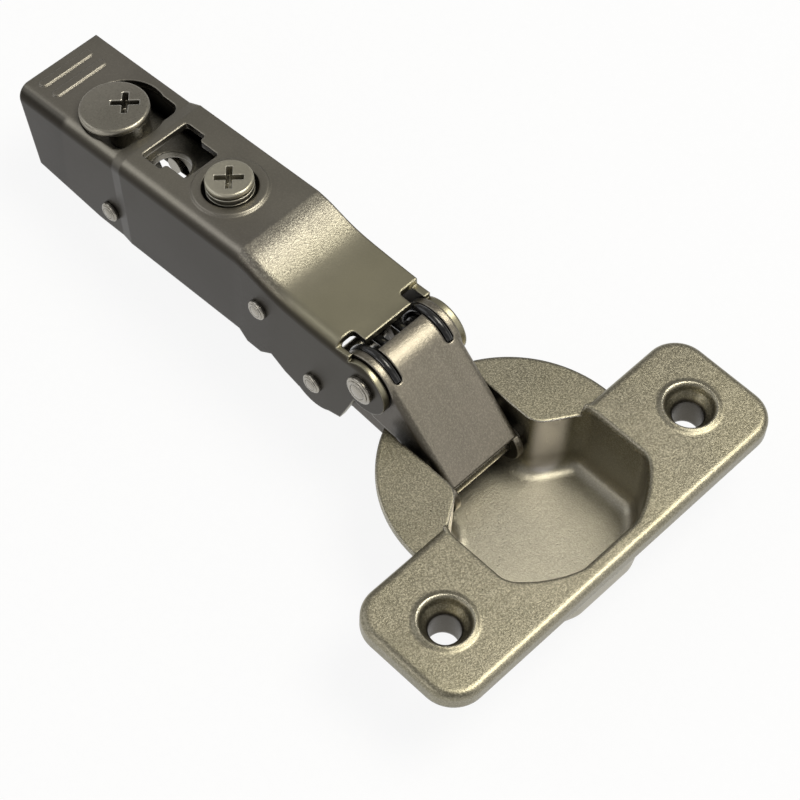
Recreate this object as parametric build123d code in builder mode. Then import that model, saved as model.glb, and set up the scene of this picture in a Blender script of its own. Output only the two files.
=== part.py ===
import os
from math import atan2, cos, degrees, hypot, radians, sin

from build123d import *

os.makedirs("parts", exist_ok=True)

# Concealed cup hinge in its open position, in millimetres.
# Origin: centre of the cup on the face of the door. +X runs to the line of screws, the arm lies
# towards -X, and +Z stands out of the door.

# Pressed cup and its screw plate
cup_sheet = 0.75
boring_diameter = 35.0
boring_clearance = 0.1
same_place = 0.01
rim_radius = 17.75
plate_front = 18.7
plate_length = 60.8
plate_height = 2.7
plate_corner = 4.6
plate_edge_round = 1.0
pocket_floor = 10.4
pocket_front = 16.0
pocket_half_width = 12.9
pocket_corner_round = 3.0
pocket_rear_round = 2.5
pocket_floor_round = 2.2
shoulder_start = 0.3
shoulder_length = 3.6
shoulder_inner_round = 3.0
shoulder_outer_round = 2.5
slot_half_width = 7.2
slot_flare_start = 12.2
slot_flare = 1.2
pocket_edge_steps = ((0.8, 25.0), (0.3, 60.0))
rear_wall_height = 3.9

# Screw collars drawn down from the plate
screw_spacing = 45.0
screw_line = 9.5
screw_bore_radius = 2.1
collar_wall = 0.85
collar_depth = 4.0
collar_seat_radius = 3.0
collar_lip_radius = 4.3
collar_lip_height = 0.3
collar_cone_top = 1.9
collar_cone_bottom = 0.65

# Linkage: pivots of the outer and inner link in the cup and in the arm, as (X, Z)
outer_cup_pivot = (-6.6, -5.52)
inner_cup_pivot = (-10.25, -3.25)
outer_arm_pivot = (-20.31, 5.59)
inner_arm_pivot = (-28.97, -2.16)
pin_radius = 1.25
running_clearance = 0.05
open_pivot_play = 1.45
washer_gap = 0.15
arm_tilt = 6.0

# Pin heads
cup_head_radius = 1.7
cup_head_height = 0.6
arm_head_radius = 2.1
arm_head_height = 0.7
small_head_radius = 1.5
small_head_height = 0.6
head_edge_round = 0.3

# Outer link, a channel with its web on the outside
link_sheet = 1.0
outer_link_half_width = 6.35
outer_link_web_angle = 136.6
outer_link_web_rise = 3.25
outer_link_web_start = 0.75
outer_link_bend = 0.95
outer_link_cup_eye = 2.75
outer_link_lip_end = 38.0
outer_link_waist_depth = 2.1
outer_link_waist = 8.6
outer_link_heel = 12.3
outer_link_heel_depth = 5.0
pin_pass_clearance = 0.35
outer_link_travel = 112.0
pin_pass_overrun = 25.0
leg_slot_width = 1.4
leg_slot_start = 1.2

# Inner link, a channel with its web underneath
inner_link_half_width = 5.15
inner_link_cup_eye = 2.4
inner_link_arm_eye = 4.2
inner_link_web_start = 2.9
inner_link_web_end = 5.2

# Folded arm, in its own frame: u runs forward from the outer link's pivot, v upward
arm_sheet = 1.0
arm_half_width = 7.5
arm_rear = 67.0
arm_front = 2.3
arm_top = 8.35
arm_slope_start = 22.6
arm_slope_drops = (0.0, 0.6, 1.55, 2.27, 2.65, 2.9, 3.1, 3.28, 3.45)
arm_joggle = 47.6
arm_joggle_length = 2.0
arm_joggle_side = 0.3
arm_joggle_drop = 0.55
arm_ear_radius = 4.1
arm_bend = 2.0
arm_relief_start = 4.6
arm_relief_half_width = 4.1
arm_relief_round = 0.7
arm_lobe_radius = 4.6
arm_lower_edge = ((65.0, 5.4), (52.4, 7.3), (23.8, 7.6), (22.4, 9.1), (19.8, 9.2), (17.6, 7.8),
                  (15.1, 9.4), (12.6, 10.3))
arm_tooth = ((7.0, 10.7), (4.7, 10.1), (2.6, 5.8))

# Openings, boss and ribs in the arm's top
cam_opening_place = 53.0
cam_opening_radius = 5.9
cam_opening_half_width = 5.6
cam_opening_front = 47.6
cam_opening_round = 1.5
window_rear = 44.6
window_front = 37.0
window_step = 40.8
window_half_width = 4.1
window_step_half_width = 3.0
window_round = 0.5
boss_radius = 5.3
boss_height = 0.3
boss_slope = 0.27
rib_places = (65.0, 62.2)
rib_half_length = 4.6
rib_width = 1.3
rib_height = 0.15

# Spring
spring_wire = 1.2
spring_pitch = 1.3
spring_coil_radius = 2.75
spring_leg_radius = 4.25
spring_full_turns = 2
spring_leg_end = 30.0
spring_leg_turn = 150.0
spring_leg_gap = 0.05
spring_joint_gap = 0.1
spring_joint_swell = 0.06
spring_joint_length = 0.4
bush_wall = 0.75
stop_pin_place = (-19.1, 0.2)

# Carrier that clips on the mounting plate
carrier_sheet = 1.2
carrier_side_gap = 0.3
carrier_top_drop = 5.0
carrier_rear = 64.0
carrier_front = 25.5
carrier_depth = 8.4
carrier_bend = 1.2
carrier_window_radius = 2.85
carrier_window_place = 44.0
carrier_slide = 1.3
carrier_tilt = 2.0
tilt_pin_place = (-49.4, -3.7)
tilt_pin_reach = 0.6
hook_pin_place = (-28.6, -2.6)
hook_pin_radius = 1.5

# Release lever
lever_pivot_place = (-57.0, -1.5)
lever_pin_radius = 1.0
lever_sheet = 1.0
lever_side_gap = 0.25
lever_eye = 2.3
lever_outline = ((-65.6, -3.6), (-65.6, -2.3), (-58.0, 0.8), (-54.9, 0.4), (-54.4, -3.2),
                 (-51.9, -8.3), (-54.4, -8.5), (-57.8, -4.2))
lever_corner_round = 0.4
lever_pad_length = 4.2
lever_spring_wire = 0.5
lever_spring_radius = 1.55
lever_spring_turns = 5.0
lever_spring_leg = 5.0

# Depth cam and side screw
cam_centre = (-53.4, -1.1)
cam_offset = (0.6, 1.45)
cam_disc_radius = 4.9
cam_disc_height = 0.9
cam_disc_gap = 0.6
cam_disc_round = 0.45
cam_collar_radius = 3.3
cam_collar_height = 1.3
cam_collar_step = 3.0
cam_shank_radius = 2.0
cam_washer_radius = 3.2
cam_washer_height = 0.6
side_screw_place = 31.5
side_screw_radius = 3.3
side_screw_rise = 2.0
side_screw_collar_depth = 1.4
side_screw_rim = 0.55
side_screw_rim_angle = 25
side_screw_neck_radius = 1.8
side_screw_foot_radius = 2.9
side_screw_foot_height = 0.9
side_screw_travel = 0.75
side_screw_play = 0.35
groove_depth = 0.35
groove_height = 0.35
groove_pitch = 0.9
groove_count = 2
recess_arm_length = 2.0
recess_arm_width = 0.9
recess_depth = 1.4
recess_taper = 10

# Derived places
pivot_line = (outer_arm_pivot[0] - outer_cup_pivot[0], outer_arm_pivot[1] - outer_cup_pivot[1])
web_direction = (cos(radians(outer_link_web_angle)), sin(radians(outer_link_web_angle)))
web_normal = (web_direction[1], -web_direction[0])
outer_arm_eye = (pivot_line[0] * web_direction[0] + pivot_line[1] * web_direction[1],
                 pivot_line[0] * web_normal[0] + pivot_line[1] * web_normal[1])
outer_link_arm_eye = outer_link_web_rise - outer_arm_eye[1]
inner_link_run = (inner_arm_pivot[0] - inner_cup_pivot[0], inner_arm_pivot[1] - inner_cup_pivot[1])
inner_link_length = hypot(*inner_link_run)
inner_link_angle = degrees(atan2(inner_link_run[1], inner_link_run[0]))
arm_inner_half_width = arm_half_width - arm_sheet
arm_rear_top = arm_top - arm_joggle_drop
arm_ear_top = arm_top - arm_slope_drops[-1] - arm_bend
carrier_top = arm_top - carrier_top_drop
carrier_half_width = arm_inner_half_width - arm_joggle_side - carrier_side_gap / 2
lever_half_width = carrier_half_width - carrier_sheet - lever_side_gap
arm_cos = cos(radians(arm_tilt))
arm_sin = sin(radians(arm_tilt))
cam_pivot = (cam_centre[0] + cam_offset[0], cam_centre[1] + cam_offset[1])


def tilted_plane(origin, angle):
    """Plane of a side view: its x runs along the given angle in XZ, its normal along +Y."""
    direction = (cos(radians(angle)), 0, sin(radians(angle)))
    return Plane(origin=(origin[0], 0, origin[1]), x_dir=direction, z_dir=(0, 1, 0))


def arm_level(height):
    """Plane parallel to the arm's top, at a height above the outer link's pivot."""
    origin = (outer_arm_pivot[0] - arm_sin * height, 0, outer_arm_pivot[1] + arm_cos * height)
    return Plane(origin=origin, x_dir=(arm_cos, 0, arm_sin), z_dir=(-arm_sin, 0, arm_cos))


def arm_place(u, v):
    """World (X, Z) of a point given in the arm's side view."""
    return (outer_arm_pivot[0] + u * arm_cos - v * arm_sin,
            outer_arm_pivot[1] + u * arm_sin + v * arm_cos)


def arm_local(place):
    """Point of the arm's side view that stands for a world (X, Z)."""
    across = place[0] - outer_arm_pivot[0]
    up = place[1] - outer_arm_pivot[1]
    return (across * arm_cos + up * arm_sin, up * arm_cos - across * arm_sin)


outer_link_side = tilted_plane(outer_cup_pivot, outer_link_web_angle)
inner_link_side = tilted_plane(inner_cup_pivot, inner_link_angle)
arm_side = Plane(origin=(outer_arm_pivot[0], 0, outer_arm_pivot[1]),
                 x_dir=(arm_cos, 0, arm_sin), z_dir=(0, -1, 0))


def rivet_pin(place, radius, half_grip, head_radius, head_height):
    """Pin across the hinge with a riveted head at each end."""
    with BuildPart(Plane(origin=(place[0], 0, place[1]), z_dir=(0, 1, 0))) as pin:
        Cylinder(radius, 2 * half_grip)
        with Locations((0, 0, half_grip + head_height / 2), (0, 0, -half_grip - head_height / 2)):
            Cylinder(head_radius, head_height)
        outer_faces = pin.faces().sort_by(Axis.Y)
        fillet((outer_faces[0].edges() + outer_faces[-1].edges()), head_edge_round)
    return pin


def pocket_plan(level, wall):
    """Plan of the pocket at a level, grown outward by a wall."""
    limit = boring_diameter / 2 - boring_clearance - cup_sheet
    corner = (shoulder_start, pocket_half_width)
    neck = (shoulder_start - shoulder_length, slot_half_width)
    with BuildSketch(Plane.XY.offset(level)) as plan:
        with BuildLine() as border:
            Polyline((pocket_front, 0), (pocket_front, pocket_half_width), corner, neck,
                     (-slot_flare_start, slot_half_width),
                     (-boring_diameter / 2 - cup_sheet, slot_half_width + slot_flare),
                     (-boring_diameter / 2 - cup_sheet, 0))
            mirror(about=Plane.XZ)
        make_face()
        near_corner = (corner[0] - same_place, corner[0] + same_place)
        near_neck = (neck[0] - same_place, neck[0] + same_place)
        fillet(plan.vertices().filter_by_position(Axis.X, *near_corner), shoulder_outer_round)
        fillet(plan.vertices().filter_by_position(Axis.X, *near_neck), shoulder_inner_round)
        if wall > 0:
            offset(amount=wall)
        Circle(limit + wall, mode=Mode.INTERSECT)
        front_corners = plan.vertices().filter_by_position(Axis.X, pocket_front / 2, boring_diameter / 2)
        fillet(front_corners, pocket_corner_round + wall)
        rear_corners = plan.vertices().filter_by_position(Axis.X, -boring_diameter / 2, -slot_flare_start - 1)
        fillet(rear_corners, pocket_rear_round + wall)
    return plan


# Cup: pocket, rim disc and raised screw plate, pressed from one sheet
with BuildPart() as pocket_space:
    add(pocket_plan(-pocket_floor, 0).sketch)
    extrude(amount=pocket_floor + plate_height + cup_sheet, dir=(0, 0, 1))
    fillet(pocket_space.faces().sort_by(Axis.Z)[0].edges(), pocket_floor_round)

with BuildPart() as screw_plate:
    with BuildSketch() as plate_plan:
        with Locations((plate_front / 2, 0)):
            RectangleRounded(plate_front, plate_length, plate_corner)
    extrude(amount=plate_height)
    fillet(screw_plate.faces().sort_by(Axis.Z)[-1].edges(), plate_edge_round)
    with BuildSketch() as plate_space:
        with Locations((plate_front / 2, 0)):
            RectangleRounded(plate_front - 2 * cup_sheet, plate_length - 2 * cup_sheet,
                             plate_corner - cup_sheet)
    extrude(amount=plate_height - cup_sheet, mode=Mode.SUBTRACT)

with BuildPart() as hinge_cup:
    add(pocket_plan(-pocket_floor - cup_sheet, cup_sheet).sketch)
    extrude(amount=pocket_floor + cup_sheet + plate_height, dir=(0, 0, 1))
    fillet(hinge_cup.faces().sort_by(Axis.Z)[0].edges(), pocket_floor_round + cup_sheet)
    with BuildSketch(Plane.XY.offset(cup_sheet)):
        with Locations((-rim_radius, 0)):
            Rectangle(2 * rim_radius, 2 * rim_radius)
    extrude(amount=plate_height, mode=Mode.SUBTRACT)
    with BuildSketch():
        Circle(rim_radius)
        with Locations((-rim_radius + cup_sheet, 0)):
            Rectangle(2 * rim_radius, 2 * rim_radius, mode=Mode.INTERSECT)
    extrude(amount=cup_sheet)
    add(screw_plate.part)
    with Locations((screw_line, screw_spacing / 2), (screw_line, -screw_spacing / 2)):
        Cylinder(collar_seat_radius + cup_sheet, 4 * plate_height, mode=Mode.SUBTRACT)
    with BuildSketch(Plane.XZ) as collar_profile:
        with BuildLine():
            Polyline((screw_bore_radius, -collar_depth),
                     (screw_bore_radius, collar_cone_bottom),
                     (collar_seat_radius, collar_cone_top),
                     (collar_seat_radius + collar_lip_height, plate_height),
                     (collar_seat_radius + 2 * collar_lip_height, plate_height + collar_lip_height),
                     (collar_lip_radius, plate_height),
                     (collar_lip_radius, plate_height - cup_sheet),
                     (collar_seat_radius + cup_sheet, plate_height - cup_sheet),
                     (screw_bore_radius + collar_wall, collar_cone_bottom),
                     (screw_bore_radius + collar_wall, -collar_depth), close=True)
        make_face()
    collar = revolve(axis=Axis.Z, mode=Mode.PRIVATE)
    for side in (-1, 1):
        add(collar.moved(Location((screw_line, side * screw_spacing / 2, 0))))
    add(pocket_space.part, mode=Mode.SUBTRACT)
    for depth, slope in pocket_edge_steps:
        add(pocket_plan(plate_height - depth, 0).sketch)
        extrude(amount=depth, dir=(0, 0, 1), taper=-slope, mode=Mode.SUBTRACT)
    with BuildSketch(Plane.XY.offset(-pocket_floor + rear_wall_height)):
        with Locations((-rim_radius, 0)):
            Rectangle(2 * (rim_radius - slot_flare_start), 2 * slot_half_width)
    extrude(amount=pocket_floor + plate_height, mode=Mode.SUBTRACT)
    for pivot in (outer_cup_pivot, inner_cup_pivot):
        with Locations(Plane(origin=(pivot[0], 0, pivot[1]), z_dir=(0, 1, 0))):
            Cylinder(pin_radius, 2 * rim_radius, mode=Mode.SUBTRACT)
hinge_cup.part.label = "hinge_cup"
export_step(hinge_cup.part, "parts/hinge_cup.step")


# Pins and spacer rings of the cup
cup_grip = slot_half_width + cup_sheet
cup_pin_outer = rivet_pin(outer_cup_pivot, pin_radius, cup_grip, cup_head_radius, cup_head_height)
cup_pin_outer.part.label = "cup_pin_outer"
export_step(cup_pin_outer.part, "parts/cup_pin_outer.step")

cup_pin_inner = rivet_pin(inner_cup_pivot, pin_radius, cup_grip, cup_head_radius, cup_head_height)
cup_pin_inner.part.label = "cup_pin_inner"
export_step(cup_pin_inner.part, "parts/cup_pin_inner.step")

washer_width = slot_half_width - outer_link_half_width - washer_gap
with BuildPart(Plane(origin=(outer_cup_pivot[0], 0, outer_cup_pivot[1]), z_dir=(0, 1, 0))) as cup_pin_washers:
    washer_centre = slot_half_width - washer_width / 2
    with Locations((0, 0, washer_centre), (0, 0, -washer_centre)):
        Cylinder(cup_head_radius, washer_width)
    Cylinder(pin_radius, 2 * rim_radius, mode=Mode.SUBTRACT)
cup_pin_washers.part.label = "cup_pin_washers"
export_step(cup_pin_washers.part, "parts/cup_pin_washers.step")

# Outer link: channel bent from one strip, its web on the outside, its lip curled over the spring
pin_pass = pin_radius + pin_pass_clearance
cup_pin_run = hypot(inner_cup_pivot[0] - outer_cup_pivot[0], inner_cup_pivot[1] - outer_cup_pivot[1])
cup_pin_angle = degrees(atan2(inner_cup_pivot[1] - outer_cup_pivot[1],
                              inner_cup_pivot[0] - outer_cup_pivot[0]))
pin_pass_start = outer_link_web_angle - cup_pin_angle
arm_eye_s = outer_arm_eye[0]
arm_eye_n = outer_arm_eye[1]
cheek_inner = outer_link_half_width - link_sheet
pin_path = CenterArc((0, 0), cup_pin_run, pin_pass_start, -outer_link_travel - pin_pass_overrun)

with BuildPart() as outer_link:
    with BuildSketch(outer_link_side) as web_block:
        Polygon((outer_link_web_start, outer_link_web_rise),
                (arm_eye_s, outer_link_web_rise),
                (arm_eye_s, arm_eye_n),
                (outer_link_web_start, outer_link_web_rise - 2 * link_sheet), align=None)
    extrude(amount=outer_link_half_width, both=True)
    long_edges = outer_link.edges().filter_by(Axis((0, 0, 0), (*web_direction[:1], 0, web_direction[1])))
    fillet(long_edges.sort_by(Axis((0, 0, 0), (web_normal[0], 0, web_normal[1])))[-2:], outer_link_bend)
    with BuildSketch(outer_link_side) as cheek:
        with Locations((arm_eye_s, arm_eye_n)):
            Circle(outer_link_arm_eye)
        Circle(outer_link_cup_eye)
        Polygon((0, outer_link_web_rise - outer_link_bend),
                (arm_eye_s, outer_link_web_rise - outer_link_bend),
                (arm_eye_s, arm_eye_n - outer_link_arm_eye),
                (outer_link_heel, -outer_link_heel_depth),
                (outer_link_waist, -outer_link_waist_depth),
                (0, -outer_link_waist_depth), align=None)
        SlotArc(pin_path, 2 * pin_pass, mode=Mode.SUBTRACT)
        Circle(outer_link_cup_eye)
    extrude(amount=outer_link_half_width, both=True)
    with BuildSketch(outer_link_side) as channel_space:
        with Locations((arm_eye_s, arm_eye_n)):
            Circle(outer_link_arm_eye - link_sheet)
        Polygon((-outer_link_cup_eye * 2, outer_link_web_rise - link_sheet),
                (arm_eye_s, outer_link_web_rise - link_sheet),
                (arm_eye_s, -3 * outer_link_arm_eye),
                (-outer_link_cup_eye * 2, -3 * outer_link_arm_eye), align=None)
        with Locations((arm_eye_s, arm_eye_n)):
            lip_clear = 3 * outer_link_arm_eye
            Polygon((0, 0), (lip_clear * cos(radians(outer_link_lip_end)),
                             lip_clear * sin(radians(outer_link_lip_end))),
                    (lip_clear, -lip_clear), (0, -lip_clear), align=None)
    extrude(amount=cheek_inner, both=True, mode=Mode.SUBTRACT)
    with BuildSketch(outer_link_side) as web_end:
        with Locations((outer_link_web_start - rim_radius / 2, outer_link_web_rise)):
            Rectangle(rim_radius, 2 * link_sheet)
    extrude(amount=cheek_inner, both=True, mode=Mode.SUBTRACT)
    leg_slot_end = arm_eye_s - leg_slot_start
    for side in (-1, 1):
        leg_slot_middle = side * (cheek_inner - leg_slot_width / 2)
        with BuildSketch(Plane(origin=(outer_cup_pivot[0] + web_normal[0] * 2 * outer_link_web_rise,
                                       0, outer_cup_pivot[1] + web_normal[1] * 2 * outer_link_web_rise),
                               x_dir=(web_direction[0], 0, web_direction[1]),
                               z_dir=(web_normal[0], 0, web_normal[1]))) as leg_slot:
            with Locations((leg_slot_end + rim_radius / 2, -leg_slot_middle)):
                SlotOverall(rim_radius, leg_slot_width)
        extrude(amount=-4 * outer_link_arm_eye, mode=Mode.SUBTRACT)
    with Locations(Plane(origin=(outer_cup_pivot[0], 0, outer_cup_pivot[1]), z_dir=(0, 1, 0)),
                   Plane(origin=(outer_arm_pivot[0], 0, outer_arm_pivot[1]), z_dir=(0, 1, 0))):
        Cylinder(pin_radius + running_clearance, 2 * rim_radius, mode=Mode.SUBTRACT)
outer_link.part.label = "outer_link"
export_step(outer_link.part, "parts/outer_link.step")

# Inner link: a narrower channel with its web underneath, its arm eye opened for the free pivot
with BuildPart() as inner_link:
    with BuildSketch(inner_link_side) as inner_cheek:
        Circle(inner_link_cup_eye)
        with Locations((inner_link_length, 0)):
            Circle(inner_link_arm_eye)
        Polygon((0, -inner_link_cup_eye), (inner_link_length - inner_link_web_end, -inner_link_cup_eye),
                (inner_link_length, -inner_link_arm_eye), (inner_link_length, inner_link_cup_eye),
                (0, inner_link_cup_eye), align=None)
    extrude(amount=inner_link_half_width, both=True)
    with BuildSketch(inner_link_side) as inner_space:
        with Locations((inner_link_length / 2, rim_radius - inner_link_cup_eye + link_sheet)):
            Rectangle(2 * rim_radius, 2 * rim_radius)
        with Locations((inner_link_web_start - rim_radius, 0),
                       (inner_link_length - inner_link_web_end + rim_radius, 0)):
            Rectangle(2 * rim_radius, 2 * rim_radius)
    extrude(amount=inner_link_half_width - link_sheet, both=True, mode=Mode.SUBTRACT)
    with Locations(Plane(origin=(inner_cup_pivot[0], 0, inner_cup_pivot[1]), z_dir=(0, 1, 0))):
        Cylinder(pin_radius + running_clearance, 2 * rim_radius, mode=Mode.SUBTRACT)
    with Locations(Plane(origin=(inner_arm_pivot[0], 0, inner_arm_pivot[1]), z_dir=(0, 1, 0))):
        Cylinder(pin_radius + open_pivot_play, 2 * rim_radius, mode=Mode.SUBTRACT)
inner_link.part.label = "inner_link"
export_step(inner_link.part, "parts/inner_link.step")


def arm_profile():
    """Side view of the folded arm: lower edge, lobes, tooth and front ears under a high top line."""
    high = 2 * arm_top
    with BuildSketch(arm_side) as profile:
        Polygon((-arm_rear, arm_rear_top), (-arm_rear, high), (0, high), (0, 0),
                *[(-u, -v) for u, v in reversed(arm_tooth)],
                *[(-u, -v) for u, v in reversed(arm_lower_edge)], align=None)
        with BuildSketch(mode=Mode.PRIVATE) as front_edge:
            with Locations((arm_ear_radius * 2 - arm_front, high / 2 + arm_ear_top)):
                Rectangle(arm_ear_radius * 4, high)
        add(front_edge.sketch, mode=Mode.SUBTRACT)
        Circle(arm_ear_radius)
        with Locations(arm_local(inner_arm_pivot)):
            Circle(arm_lobe_radius)
    return profile


def arm_section(place, half_width, top, bend):
    """Outline of the folded arm across its length, with its two bends."""
    origin = arm_place(place, 0)
    plane = Plane(origin=(origin[0], 0, origin[1]), x_dir=(0, 1, 0), z_dir=(arm_cos, 0, arm_sin))
    with BuildSketch(plane) as section:
        Polygon((-half_width, -2 * arm_top), (half_width, -2 * arm_top), (half_width, top),
                (-half_width, top), align=None)
        fillet(section.vertices().group_by(Axis((0, 0, 0), (-arm_sin, 0, arm_cos)))[-1], bend)
    return section.sketch.face()


def arm_block(wall):
    """Solid block of the folded arm, less a wall: narrower and lower behind its joggle."""
    half_width = arm_half_width - wall
    bend = arm_bend - wall
    joggle_end = arm_joggle - arm_joggle_length
    rear_half_width = half_width - arm_joggle_side
    joggle_rear = arm_section(-arm_joggle, rear_half_width, arm_rear_top - wall, bend)
    joggle_front = arm_section(-joggle_end, half_width, arm_top - wall, bend)
    slope_step = (arm_slope_start - arm_front) / (len(arm_slope_drops) - 1)
    slope = [arm_section(index * slope_step - arm_slope_start, half_width, arm_top - drop - wall, bend)
             for index, drop in enumerate(arm_slope_drops)]
    with BuildPart() as block:
        extrude(joggle_rear, amount=arm_joggle - arm_rear)
        loft([joggle_rear, joggle_front])
        extrude(joggle_front, amount=joggle_end - arm_slope_start)
        loft(slope)
        extrude(slope[-1], amount=2 * arm_ear_radius)
    return block


# Folded arm: channel with ears, lobes round its pins, openings for the screws and a pressed boss
with BuildPart() as arm_space:
    add(arm_block(arm_sheet).part)
    with BuildSketch(arm_side):
        with Locations((arm_rear - arm_front, 0)):
            Rectangle(2 * arm_rear, 4 * arm_top)
    extrude(amount=arm_half_width - arm_sheet, both=True)

cam_floor = arm_rear_top + cam_disc_gap
sheet_under = arm_top - arm_sheet
with BuildPart() as hinge_arm:
    add(arm_block(0).part)
    extrude(arm_profile().sketch, amount=2 * arm_half_width, both=True, mode=Mode.INTERSECT)
    add(arm_space.part, mode=Mode.SUBTRACT)
    with BuildSketch(arm_level(arm_rear_top - arm_sheet / 2)):
        for place in rib_places:
            with Locations((-place, 0)):
                SlotOverall(2 * rib_half_length, rib_width, rotation=90)
    extrude(amount=arm_sheet / 2 + rib_height)
    with BuildSketch(arm_level(arm_top - arm_sheet / 2)):
        with Locations((-side_screw_place, 0)):
            Circle(boss_radius)
    extrude(amount=arm_sheet / 2 + boss_height)
    boss_rim = hinge_arm.faces().sort_by(Axis((0, 0, 0), (-arm_sin, 0, arm_cos)))[-1].edges()
    chamfer(boss_rim, boss_slope)
    with BuildSketch(arm_level(sheet_under - side_screw_collar_depth)):
        with Locations((-side_screw_place, 0)):
            Circle(side_screw_radius + running_clearance + arm_sheet)
    extrude(amount=side_screw_collar_depth + arm_sheet)
    with BuildSketch(arm_level(-arm_top)):
        with Locations((-side_screw_place, 0)):
            Circle(side_screw_radius + running_clearance)
    extrude(amount=4 * arm_top, mode=Mode.SUBTRACT)
    with BuildSketch(arm_level(arm_top + boss_height)):
        with Locations((-side_screw_place, 0)):
            Circle(side_screw_radius + running_clearance + side_screw_rim)
    extrude(amount=-arm_sheet, taper=side_screw_rim_angle, mode=Mode.SUBTRACT)
    with BuildSketch(arm_level(carrier_top)) as top_openings:
        with BuildSketch(mode=Mode.PRIVATE) as cam_opening:
            with Locations((-(cam_opening_front + cam_opening_place) / 2, 0)):
                Rectangle(cam_opening_place - cam_opening_front, 2 * cam_opening_half_width)
            fillet(cam_opening.vertices(), cam_opening_round)
            with Locations((-cam_opening_place, 0)):
                Circle(cam_opening_radius)
        add(cam_opening.sketch)
        with BuildSketch(mode=Mode.PRIVATE) as window:
            with Locations((-(window_rear + window_step) / 2, 0)):
                Rectangle(window_rear - window_step, 2 * window_half_width)
            with Locations((-(window_rear + window_front) / 2, 0)):
                Rectangle(window_rear - window_front, 2 * window_step_half_width)
            fillet(window.vertices(), window_round)
        add(window.sketch)
    extrude(amount=2 * arm_top, mode=Mode.SUBTRACT)
    for level, outer_edge in ((arm_ear_top, arm_inner_half_width), (arm_ear_radius, 2 * arm_half_width)):
        with BuildSketch(arm_level(level)) as reliefs:
            for side in (-1, 1):
                with BuildSketch(mode=Mode.PRIVATE) as relief:
                    with Locations((-arm_relief_start / 2 + arm_ear_radius,
                                    side * (arm_relief_half_width + outer_edge) / 2)):
                        Rectangle(arm_relief_start + 2 * arm_ear_radius, outer_edge - arm_relief_half_width)
                    fillet(relief.vertices(), arm_relief_round)
                add(relief.sketch)
        extrude(amount=2 * arm_top, mode=Mode.SUBTRACT)
    for place, radius in ((outer_arm_pivot, pin_radius), (inner_arm_pivot, pin_radius),
                          (arm_place(*stop_pin_place), pin_radius),
                          (arm_place(*tilt_pin_place), pin_radius + running_clearance)):
        with Locations(Plane(origin=(place[0], 0, place[1]), z_dir=(0, 1, 0))):
            Cylinder(radius, 4 * arm_half_width, mode=Mode.SUBTRACT)
hinge_arm.part.label = "hinge_arm"
export_step(hinge_arm.part, "parts/hinge_arm.step")

# Pins of the arm
arm_pin_outer = rivet_pin(outer_arm_pivot, pin_radius, arm_half_width, arm_head_radius, arm_head_height)
arm_pin_outer.part.label = "arm_pin_outer"
export_step(arm_pin_outer.part, "parts/arm_pin_outer.step")

arm_pin_inner = rivet_pin(inner_arm_pivot, pin_radius, arm_half_width, small_head_radius,
                          small_head_height)
arm_pin_inner.part.label = "arm_pin_inner"
export_step(arm_pin_inner.part, "parts/arm_pin_inner.step")

spring_stop_pin = rivet_pin(arm_place(*stop_pin_place), pin_radius, arm_half_width, small_head_radius,
                            small_head_height)
spring_stop_pin.part.label = "spring_stop_pin"
export_step(spring_stop_pin.part, "parts/spring_stop_pin.step")

# Rear studs, one in each wall of the arm, on which the carrier slides and tilts
stud_outer = arm_half_width - arm_joggle_side + running_clearance
stud_inner = carrier_half_width - carrier_sheet - tilt_pin_reach
stud_place = arm_place(*tilt_pin_place)
with BuildPart(Plane(origin=(stud_place[0], 0, stud_place[1]), z_dir=(0, 1, 0))) as tilt_pin:
    for side in (-1, 1):
        with Locations((0, 0, side * (stud_outer + stud_inner) / 2)):
            Cylinder(pin_radius, stud_outer - stud_inner)
        with Locations((0, 0, side * (stud_outer + small_head_height / 2))):
            Cylinder(small_head_radius, small_head_height)
    stud_faces = tilt_pin.faces().sort_by(Axis.Y)
    fillet((stud_faces[0].edges() + stud_faces[-1].edges()), head_edge_round)
tilt_pin.part.label = "tilt_pin"
export_step(tilt_pin.part, "parts/tilt_pin.step")

# Sleeve and double torsion spring on the outer link's arm pin
coil_gap = spring_leg_gap + spring_wire / 2
leg_y = cheek_inner - coil_gap
with BuildPart(Plane(origin=(outer_arm_pivot[0], 0, outer_arm_pivot[1]), z_dir=(0, 1, 0))) as spring_bush:
    Cylinder(pin_radius + running_clearance + bush_wall, 2 * leg_y)
    Cylinder(pin_radius + running_clearance, 2 * leg_y, mode=Mode.SUBTRACT)
spring_bush.part.label = "spring_bush"
export_step(spring_bush.part, "parts/spring_bush.step")

coil_turns = spring_full_turns + (90 - (spring_leg_turn - 180)) / 360
coil_run = coil_turns * spring_pitch
bridge_y = leg_y - coil_run
stop_top = stop_pin_place[1] + pin_radius + spring_wire / 2 + spring_leg_gap
leg_blend_radius = (spring_leg_radius + spring_coil_radius) / 2
leg_blend_offset = (spring_leg_radius - spring_coil_radius) / 2
blend_centre = (leg_blend_offset * cos(radians(spring_leg_turn)),
                leg_blend_offset * sin(radians(spring_leg_turn)))
coil_start = spring_leg_turn - 180
wire_radius = spring_wire / 2
leg_plane = Plane(origin=(outer_arm_pivot[0], leg_y, outer_arm_pivot[1]),
                  x_dir=(arm_cos, 0, arm_sin), z_dir=(0, -1, 0))
coil_direction = (cos(radians(arm_tilt + coil_start)), 0, sin(radians(arm_tilt + coil_start)))
coil_plane = Plane(origin=(outer_arm_pivot[0], leg_y, outer_arm_pivot[1]),
                   x_dir=coil_direction, z_dir=(0, -1, 0))

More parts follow.
